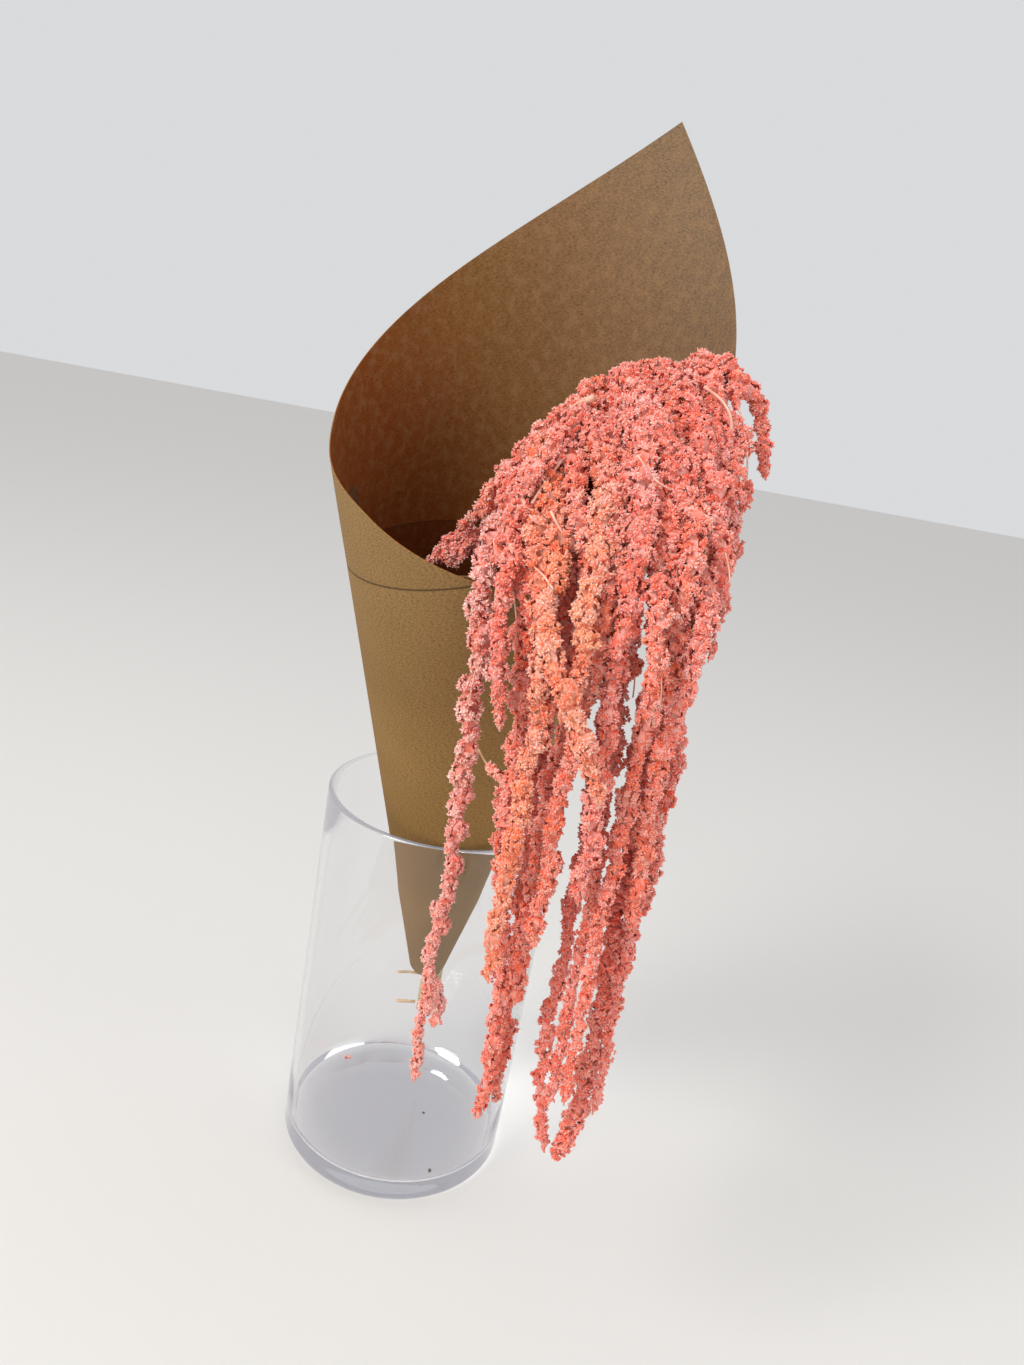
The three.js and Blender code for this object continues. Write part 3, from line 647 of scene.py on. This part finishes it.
# Small growths of single stems: side sprigs of two tassels, the cut stub on top of the bunch,
# bare stalks that show between the tassels there, and a twig and a cut side branch at the
# paper's open tip. Stem, radius, tint, number of tufts, line.
EXTRAS = [
    (0, 0.5, 0.7, 5, [(9.5, -195, 366), (14.3, -195, 359.5), (19.3, -204, 359.5),
                      (25.3, -210, 357)]),
    (0, 0.45, 0.2, 4, [(33, -206, 395), (29, -208, 390), (25, -208, 385), (23.5, -207, 378)]),
    (0, 0.4, 0.2, 4, [(24.5, -207, 380), (23.5, -207, 374), (25, -207, 369), (28.5, -208, 365)]),
    (0, 0.9, 0.7, 0, [(3, 23, 108), (-5, 17, 112), (-13.5, 10, 115)]),
    (1, 0.4, 0.7, 4, [(40, -203, 217), (42.5, -202, 210), (46.7, -201, 198.5)]),
    (1, 1.1, 0.7, 0, [(1.5, 18, 88), (-4, 13, 91), (-10.5, 10, 92.3)]),
    (1, 0.75, 0.1, 0, [(9, -179, 470), (13, -173, 478), (17.5, -166, 486), (22, -163, 495)]),
    (1, 0.65, 0.1, 0, [(13.5, -181, 470), (18, -172, 479), (23, -167, 488)]),
    (1, 0.5, 0.1, 0, [(21, -193, 470), (25, -197, 465), (31, -199, 459)]),
    (1, 0.45, 0.1, 0, [(18.5, -206, 449), (22, -213, 448), (26, -221, 445)]),
    (2, 1.5, 0.25, 0, [(24.5, -138, 507.5), (27.5, -145, 511), (32.5, -149, 514.5)]),
    (2, 0.45, 0.1, 0, [(51, -188, 497), (55, -194, 492.5), (59, -199, 489), (65, -197, 487)]),
    (3, 0.45, 0.1, 0, [(62, -168, 503), (64.5, -178, 500), (66.5, -186, 496)]),
    (4, 0.6, 0.1, 0, [(77, -151, 527), (84.5, -155, 523.5), (89.5, -158, 518),
                      (91.5, -158, 511)]),
]
EXTRA = Data(step=2.0, sides=10, tufted=(0.45, 0.55), scatter=0.5, radius=(2.8, 0.6), florets=8,
             tint=0.5)


def add_extra(builder, draw, radius, tint, tufts, corners):
    line = smooth(resample(corners, EXTRA.step), 2)
    add_thread(builder, line, np.full(len(line), radius), tint, EXTRA.sides)
    start, over = EXTRA.tufted
    for i in range(tufts):
        share = start + over * i / max(1, tufts - 1)
        place = line[min(len(line) - 1, int(share * len(line)))]
        middle = place + draw.normal(0, EXTRA.scatter, 3)
        size = drawn(draw, EXTRA.radius)
        add_tuft(builder, draw, middle, size, EXTRA.florets, EXTRA.tint)


# Short tassels that lie slantwise over the others on top of the bunch and at its left: stem and
# line
BRANCHLETS = [
    (1, [(42, -122, 524), (30, -129, 515), (18, -136, 502), (8, -144, 487), (0, -149, 472),
         (-8, -148, 459), (-15, -142, 448)]),
    (0, [(30, -143, 513), (22, -157, 500), (13, -172, 483), (6, -184, 464), (2, -190, 444)]),
    (3, [(46, -146, 524), (55, -164, 516), (64, -183, 500), (71, -195, 478), (74, -199, 452)]),
    (0, [(3, -130, 456), (-3, -135, 448), (-9, -138, 441), (-15, -139, 435), (-20, -138, 431)]),
]
BRANCHLET_RADII = ((0, 0.15, 0.8, 1), (2.0, 5.2, 4.6, 2.6))


def amaranth(stem_index, chains, bent, materials):
    builder = Builder()
    for index, (chain, line) in enumerate(zip(chains, bent)):
        if chain["stem"] != stem_index:
            continue
        if chain["fixed"]:
            stalk = resample(line, STALK.step)
            along = np.linspace(0, 1, len(stalk))
            radii = STEM.foot_radius + (STEM.top_radius - STEM.foot_radius) * along
            points, faces = tube_mesh(stalk, radii, STALK.sides, STALK.ridge, STALK.ridges)
            builder.add(points, faces, 1, STALK.shade, 1.0)
        else:
            add_tassel(builder, line, chain["radius"], chain["tassel"], index - len(STEMS))
    draw = np.random.default_rng(SEED.extra + stem_index)
    for stem, *extra in EXTRAS:
        if stem == stem_index:
            add_extra(builder, draw, *extra)
    for index, (stem, corners) in enumerate(BRANCHLETS):
        if stem == stem_index:
            line = smooth(resample(corners, TASSEL.step), 3)
            radii = np.interp(np.linspace(0, 1, len(line)), *BRANCHLET_RADII)
            add_tassel(builder, line, radii, {}, len(TASSELS) + index)
    piece = builder.mesh(f"amaranth_{stem_index + 1}", materials, smooth_slots=(1,))
    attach(piece, "root")
    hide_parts(f"amaranth_stem_{stem_index + 1}")


# Materials

def srgb(*channels):
    return tuple(((c / 255 + 0.055) / 1.055) ** 2.4 if c > 10 else c / 255 / 12.92
                 for c in channels)


BLACK, WHITE = (0, 0, 0), (1, 1, 1)


class Look:
    """A material. Each method that adds a node returns that node's output."""

    def __init__(self, name):
        self.material = bpy.data.materials.new(name)
        self.material.use_nodes = True
        self.tree = self.material.node_tree
        self.shader = self.tree.nodes["Principled BSDF"]

    def feed(self, node, inputs):
        """Links outputs to the node's sockets, or sets numbers, vectors and colours there."""
        for name, value in inputs.items():
            socket = node.inputs[name]
            if hasattr(value, "is_linked"):
                self.tree.links.new(value, socket)
            else:
                socket.default_value = (*value, 1) if socket.type == "RGBA" else value

    def node(self, kind, output, inputs=None, **settings):
        node = self.tree.nodes.new("ShaderNode" + kind)
        for name, value in settings.items():
            setattr(node, name, value)
        self.feed(node, inputs or {})
        return node.outputs[output]

    def surface(self, inputs):
        self.feed(self.shader, inputs)
        return self.material

    def stored(self, name):
        return self.node("Attribute", "Fac", attribute_name=name)

    def place(self):
        return self.node("TexCoord", "Object")

    def noise(self, vector, scale, detail=3, roughness=0.55):
        return self.node("TexNoise", "Fac", {"Scale": scale, "Detail": detail,
                                             "Roughness": roughness, "Vector": vector})

    def maths(self, operation, *values):
        return self.node("Math", "Value", dict(enumerate(values)), operation=operation)

    def ramp(self, value, *stops):
        colour = self.node("ValToRGB", "Color", {"Fac": value})
        elements = colour.node.color_ramp.elements
        for index, (position, shade) in enumerate((stops[0], stops[-1])):
            elements[index].position, elements[index].color = position, (*shade, 1)
        for position, shade in stops[1:-1]:
            elements.new(position).color = (*shade, 1)
        return colour

    def ranged(self, value, low, high, *stops):
        span = self.node("MapRange", "Result", {"From Min": low, "From Max": high,
                                                "Value": value})
        return self.ramp(span, *stops)

    def mix(self, kind, factor, first, second):
        return self.node("Mix", "Result", {"Factor": factor, "A": first, "B": second},
                         data_type="RGBA", blend_type=kind)


def floret_material():
    look = Look("dried_florets")
    shade, place = look.stored("shade"), look.place()
    hue = look.ramp(look.stored("tint"), (0.1, srgb(245, 156, 150)), (0.45, srgb(246, 152, 134)),
                    (0.72, srgb(249, 167, 134)), (1.0, srgb(252, 196, 152)))
    spots = look.ramp(look.noise(place, 90), (0.35, (1, 0.76, 0.64)), (0.6, WHITE))
    colour = look.mix("MULTIPLY", 0.5, hue, spots)
    # Painted shade: low shade values, at floret cores, lump necks and the hearts, turn the colour
    # deep red
    painted_shade_colour = look.ramp(shade, (0.05, (1, 0.34, 0.15)), (0.26, (1, 0.7, 0.52)), (0.44, WHITE))
    colour = look.mix("MULTIPLY", 1.0, colour, painted_shade_colour)
    # High shade values, at the bract tips, mix in a near white: partly the tips' own paleness,
    # partly painted highlight
    pale_tips_and_highlight = look.ramp(shade, (0.3, BLACK), (0.8, (0.8, 0.8, 0.8)))
    colour = look.mix("MIX", pale_tips_and_highlight, colour, srgb(252, 240, 233))
    # Painted shade: the hanging ends, lower down, are a little darker than the top of the bunch
    height = look.node("SeparateXYZ", "Z", {"Vector": place})
    painted_low_shade = look.ranged(height, 0.3, 0.45, (0.0, (0.96, 0.85, 0.81)), (1.0, (0.97, 0.94, 0.92)))
    colour = look.mix("MULTIPLY", 1.0, colour, painted_low_shade)
    return look.surface({"Base Color": colour, "Roughness": 0.5, "Specular IOR Level": 0.3})


def thread_material():
    look = Look("dried_stalk")
    streak = look.noise(look.place(), 160, 4)
    pink = look.ramp(streak, (0.3, srgb(236, 164, 144)), (0.7, srgb(250, 206, 188)))
    straw = look.ramp(streak, (0.3, srgb(178, 150, 96)), (0.55, srgb(212, 190, 136)),
                      (0.8, srgb(230, 214, 176)))
    colour = look.mix("MIX", look.stored("tint"), pink, straw)
    return look.surface({"Base Color": colour, "Roughness": 0.6})


def kraft_material():
    look = Look("kraft_paper")
    flat = look.node("UVMap", "UV", uv_map="sheet")
    stretched = look.node("Mapping", "Vector", {"Scale": (2.6, 1, 1), "Vector": flat})
    base = look.ramp(look.noise(flat, 9, 4), (0.3, srgb(137, 104, 61)), (0.7, srgb(151, 116, 70)))
    fibre = look.ramp(look.noise(stretched, 560, 5, 0.75), (0.38, (0.56, 0.54, 0.5)),
                      (0.5, WHITE), (0.62, (1.32, 1.32, 1.3)))
    colour = look.mix("MULTIPLY", 0.85, base, fibre)
    # The outside is greyer higher up. The inside is mottled, and darker and redder low down and
    # on its left and greyer towards the top corner: painted shade and painted light, as the
    # cone's own wall shades the inside and light glows through the paper.
    x = look.node("SeparateXYZ", "X", {"Vector": flat})
    lifted = look.maths("MULTIPLY_ADD", x.node.outputs["Y"], -1.2, x)
    tone = look.ranged(lifted, 0.3, 0.58, (0.0, (0.98, 0.5, 0.24)), (0.37, (0.88, 0.72, 0.6)),
                       (1.0, (0.84, 0.96, 1.6)))
    inside = look.mix("MULTIPLY", 1.0, colour, tone)
    tone = look.ranged(x, 0.2, 0.44, (0.0, (0.96, 0.94, 0.8)), (1.0, (1, 1.08, 1.24)))
    outside = look.mix("MULTIPLY", 1.0, colour, tone)
    blotch = look.ramp(look.noise(flat, 165, 5, 0.66), (0.46, BLACK), (0.64, WHITE))
    inside = look.mix("MIX", look.maths("MULTIPLY", blotch, 0.36), inside, srgb(164, 127, 88))
    # Below the crease the inside turns away from the light
    turn = math.radians(SHEET.crease_turn)
    across = look.node("VectorMath", "Value", {0: flat, 1: (math.cos(turn), math.sin(turn), 0)},
                       operation="DOT_PRODUCT")
    below = look.maths("LESS_THAN", across, SHEET.crease_distance * MM)
    inside = look.mix("MULTIPLY", below, inside, (0.8, 0.66, 0.56))
    colour = look.mix("MIX", look.stored("inner"), outside, inside)
    # A few dark specks
    cell = look.node("TexVoronoi", "Distance", {"Scale": 70, "Vector": flat})
    dot = look.ramp(cell, (0.028, WHITE), (0.045, BLACK))
    chosen = look.ramp(cell.node.outputs["Color"], (0.8, BLACK), (0.82, WHITE))
    colour = look.mix("MIX", look.maths("MULTIPLY", dot, chosen), colour, srgb(52, 36, 24))
    # Painted shade along the crease: a dark line in its groove, stronger outside than inside
    colour = look.mix("MIX", look.stored("crease"), colour, srgb(66, 48, 28))
    grain = look.node("Bump", "Normal", {"Strength": 0.35, "Distance": 0.0003,
                                         "Height": look.noise(stretched, 900, 4, 0.7)})
    return look.surface({"Base Color": colour, "Roughness": 0.85, "Specular IOR Level": 0.22,
                         "Normal": grain})


def glass_material():
    look = Look("clear_glass")
    ripple = look.node("Bump", "Normal", {"Strength": 0.04, "Distance": 0.002,
                                          "Height": look.noise(look.place(), 14, 1)})
    look.surface({"Base Color": (0.97, 0.97, 0.978), "Roughness": 0.0,
                  "Transmission Weight": 1.0, "IOR": 1.47, "Normal": ripple})
    # Light that has been turned often inside the glass, or that falls through it, goes
    # straight on
    turns = look.node("LightPath", "Ray Depth")
    often = look.maths("GREATER_THAN", turns, 4.5)
    surface = look.shader.outputs["BSDF"]
    for factor, tint in ((often, (0.84, 0.84, 0.865)),
                         (turns.node.outputs["Is Shadow Ray"], (0.9, 0.91, 0.925))):
        straight = look.node("BsdfTransparent", "BSDF", {"Color": tint})
        surface = look.node("MixShader", "Shader", {"Fac": factor, 1: surface, 2: straight})
    look.feed(look.tree.nodes["Material Output"], {"Surface": surface})
    return look.material


def speck_material():
    look = Look("dry_speck")
    colour = look.ramp(look.noise(look.place(), 400), (0.35, srgb(70, 54, 44)),
                       (0.65, srgb(104, 82, 66)))
    return look.surface({"Base Color": colour, "Roughness": 0.8})


def mesh_piece(name, points, faces, material):
    mesh = bpy.data.meshes.new(name)
    mesh.from_pydata([tuple(p) for p in np.asarray(points) * MM], [], faces)
    mesh.materials.append(material)
    mesh.polygons.foreach_set("use_smooth", [True] * len(mesh.polygons))
    mesh.update()
    return add_object(name, mesh)


# The vase's underside is hollow inside a foot ring, and its floor dips towards the middle
GLASS = Data(hollow=1.2, ring_hollow=1.0, ring_inside=16, ring_outside=12, steps=8, lip_steps=12,
             dip_radius=30.0, dip=0.6, middle_dip=0.8)


def vase(material):
    radius, height, wall = VASE.radius, VASE.height, VASE.wall
    base, foot_round, steps = VASE.base, VASE.foot_round, GLASS.steps
    lip = wall / 2
    foot = radius - foot_round
    profile = [(0.0, GLASS.hollow), (foot - GLASS.ring_inside, GLASS.ring_hollow),
               (foot - GLASS.ring_outside, 0.0)]

    def arc(x, z, size, start, end, steps):
        for step in range(steps + 1):
            turn = math.radians(start + (end - start) * step / steps)
            profile.append((x + size * math.cos(turn), z + size * math.sin(turn)))

    def straight(x, low, shares):
        for share in shares:
            profile.append((x, low + (height - lip - low) * share / steps))

    arc(foot, foot_round, foot_round, -90, 0, steps)
    straight(radius, foot_round, range(1, steps))
    arc(radius - lip, height - lip, lip, 0, 180, GLASS.lip_steps)
    straight(radius - wall, base + foot_round, range(steps - 1, 0, -1))
    arc(radius - wall - foot_round, base + foot_round, foot_round, 0, -90, steps)
    profile.append((GLASS.dip_radius, base - GLASS.dip))
    profile.append((0.0, base - GLASS.middle_dip))
    sides = VASE.sides
    points = [(0, 0, profile[0][1])]
    inner = profile[1:-1]
    for x, z in inner:
        for side in range(sides):
            turn = TURN * side / sides
            points.append((x * math.cos(turn), x * math.sin(turn), z))
    points.append((0, 0, profile[-1][1]))
    faces = []
    for side in range(sides):
        after = (side + 1) % sides
        faces.append((0, 1 + after, 1 + side))
        for row in range(len(inner) - 1):
            low, high = 1 + row * sides, 1 + (row + 1) * sides
            faces.append((low + side, low + after, high + after, high + side))
        last = 1 + (len(inner) - 1) * sides
        faces.append((last + side, last + after, len(points) - 1))
    piece = mesh_piece("vase_glass", points, faces, material)
    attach(piece, "root")
    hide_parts("glass_vase")


PAPER = Data(thickness=0.5, columns=260, lower_rows=30, upper_rows=14, margin=0.9, wave=0.35,
             wave_turn=0.061, wave_rise=0.021, wave_depth=60, groove=-0.12, outer_mark=1.0,
             inner_mark=0.4, sharp_angle=40)


def paper(material):
    """The rolled sheet, with a row of vertices in its crease."""
    columns, lower, margin = PAPER.columns, PAPER.lower_rows, PAPER.margin
    top = lower + PAPER.upper_rows
    rows = top + 1
    points, flats, crease_shades, inward = [], [], [], []
    for column in range(columns + 1):
        flat_angle = SHEET.half_corner * (2 * column / columns - 1)
        angle = CONE.corner_angle + flat_angle / SIN_HALF
        edge = sheet_slant(flat_angle)
        crease = crease_slant(flat_angle)
        real = crease < edge * SHEET.crease_limit
        crease = min(crease, edge * SHEET.crease_limit)
        slants = [*np.linspace(SHEET.tip_cut, crease - margin, lower), crease,
                  *np.linspace(crease + margin, edge, PAPER.upper_rows)]
        # The crease row gets the strength of its painted shade, less on the inner face
        for face, face_crease_shade in ((-0.5, PAPER.inner_mark), (0.5, PAPER.outer_mark)):
            for row, slant in enumerate(slants):
                creased = real and row == lower
                near_edge = max(0, 1 - (edge - slant) / PAPER.wave_depth)
                phase = angle * PAPER.wave_turn + slant * PAPER.wave_rise
                wave = PAPER.wave * math.sin(phase) * near_edge
                groove = PAPER.groove if creased else 0
                offset = spiral_offset(angle) + face * PAPER.thickness + wave + groove
                points.append(on_cone(angle, slant, offset))
                turn = math.radians(flat_angle)
                flats.append((slant * MM * math.cos(turn), slant * MM * math.sin(turn)))
                crease_shades.append(face_crease_shade if creased else 0.0)
                inward.append(1.0 if face < 0 else 0.0)

    faces = []

    def quad(*corners):
        faces.append([(2 * column + face) * rows + row for column, face, row in corners])

    last = columns
    for column in range(columns):
        after = column + 1
        for row in range(top):
            up = row + 1
            quad((column, 1, row), (after, 1, row), (after, 1, up), (column, 1, up))
            quad((column, 0, row), (column, 0, up), (after, 0, up), (after, 0, row))
        quad((column, 0, 0), (after, 0, 0), (after, 1, 0), (column, 1, 0))
        quad((column, 1, top), (after, 1, top), (after, 0, top), (column, 0, top))
    for row in range(top):
        up = row + 1
        quad((0, 0, row), (0, 1, row), (0, 1, up), (0, 0, up))
        quad((last, 1, row), (last, 0, row), (last, 0, up), (last, 1, up))
    piece = mesh_piece("kraft_cone", points, faces, material)
    mesh = piece.data
    layer = mesh.uv_layers.new(name="sheet")
    loop_vertex = np.empty(len(mesh.loops), int)
    mesh.loops.foreach_get("vertex_index", loop_vertex)
    layer.data.foreach_set("uv", np.array(flats)[loop_vertex].ravel())
    add_point_values(mesh, crease=crease_shades, inner=inward)
    mesh.set_sharp_from_angle(angle=math.radians(PAPER.sharp_angle))
    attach(piece, "root")
    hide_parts("paper_cone")


# Fallen bits on the vase's floor: place, size, material and tint
CRUMBS = [(-41.5, 41.8, 2.4, 0, 0.3), (-38.8, 43.4, 1.5, 0, 0.3), (29.7, -54.9, 1.3, 1, 0.1),
          (21.4, -2.1, 1.0, 1, 0.1)]
CRUMB = Data(florets=7, raised=0.8)


def crumbs(florets, specks):
    builder = Builder()
    draw = np.random.default_rng(SEED.crumbs)
    floor = VASE.base - GLASS.dip
    for x, y, size, slot, tint in CRUMBS:
        middle = np.array([x, y, floor + CRUMB.raised * size])
        add_tuft(builder, draw, middle, size, CRUMB.florets, tint, slot)
    piece = builder.mesh("fallen_crumbs", [florets, specks])
    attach(piece, "root")


# The studio's lamps: name, place, size, power and colour
LAMPS = [("window", (-1.3, -1.2, 1.7), 0.9, 28, (1.0, 0.98, 0.95)),
         ("fill", (1.6, -0.9, 1.2), 1.4, 8, (0.95, 0.97, 1.0))]
LAMP_TARGET = (0.03, -0.1, 0.35)


def studio():
    # The floor lies just clear of the vase's foot, so that the two faces don't coincide
    half, drop = 6.0, -0.0002
    corners = [(-half, -half, drop), (half, -half, drop), (half, half, drop), (-half, half, drop)]
    mesh = bpy.data.meshes.new("floor")
    mesh.from_pydata(corners, [], [(0, 1, 2, 3)])
    look = Look("pale_floor")
    mesh.materials.append(look.surface({"Base Color": (0.78, 0.76, 0.73), "Roughness": 0.7}))
    floor = add_object("floor", mesh)
    world = bpy.data.worlds.new("studio")
    world.use_nodes = True
    sky = world.node_tree.nodes["Background"]
    sky.inputs["Color"].default_value = (0.93, 0.94, 0.96, 1)
    sky.inputs["Strength"].default_value = 0.75
    bpy.context.scene.world = world
    bpy.context.scene.view_settings.view_transform = "Standard"
    for name, place, size, power, colour in LAMPS:
        light = bpy.data.lights.new(name, "AREA")
        light.shape = "DISK"
        light.size = size
        light.energy = power
        light.color = colour
        thing = add_object(name, light)
        thing.location = place
        direction = Vector(LAMP_TARGET) - Vector(place)
        thing.rotation_euler = direction.to_track_quat("-Z", "Y").to_euler()


# The camera that was fitted to the picture: its place, two of its axes, the focal length and
# the picture's height in pixels, and the sensor's height in millimetres
CAMERA = Data(place=(0, -0.601, 0.525), right=(0.9845, 0.01045, 0.17525),
              forward=(0.0431, 0.9533, -0.2989), focal=1025, picture=1365, sensor=36)


def camera():
    data = bpy.data.cameras.new("camera")
    data.sensor_fit = "VERTICAL"
    data.sensor_height = CAMERA.sensor
    data.lens = CAMERA.sensor * CAMERA.focal / CAMERA.picture
    thing = add_object("camera", data)
    right = Vector(CAMERA.right).normalized()
    forward = Vector(CAMERA.forward).normalized()
    up = right.cross(forward).normalized()
    right = forward.cross(up)
    turn = Matrix((right, up, -forward)).transposed()
    thing.matrix_world = Matrix.Translation(CAMERA.place) @ turn.to_4x4()
    bpy.context.scene.camera = thing


camera()
studio()
vase(glass_material())
paper(kraft_material())
chains = build_chains()
bent = bend_clear(chains)
flower_materials = [floret_material(), thread_material()]
crumbs(flower_materials[0], speck_material())
for stem_number in range(len(STEMS)):
    amaranth(stem_number, chains, bent, flower_materials)
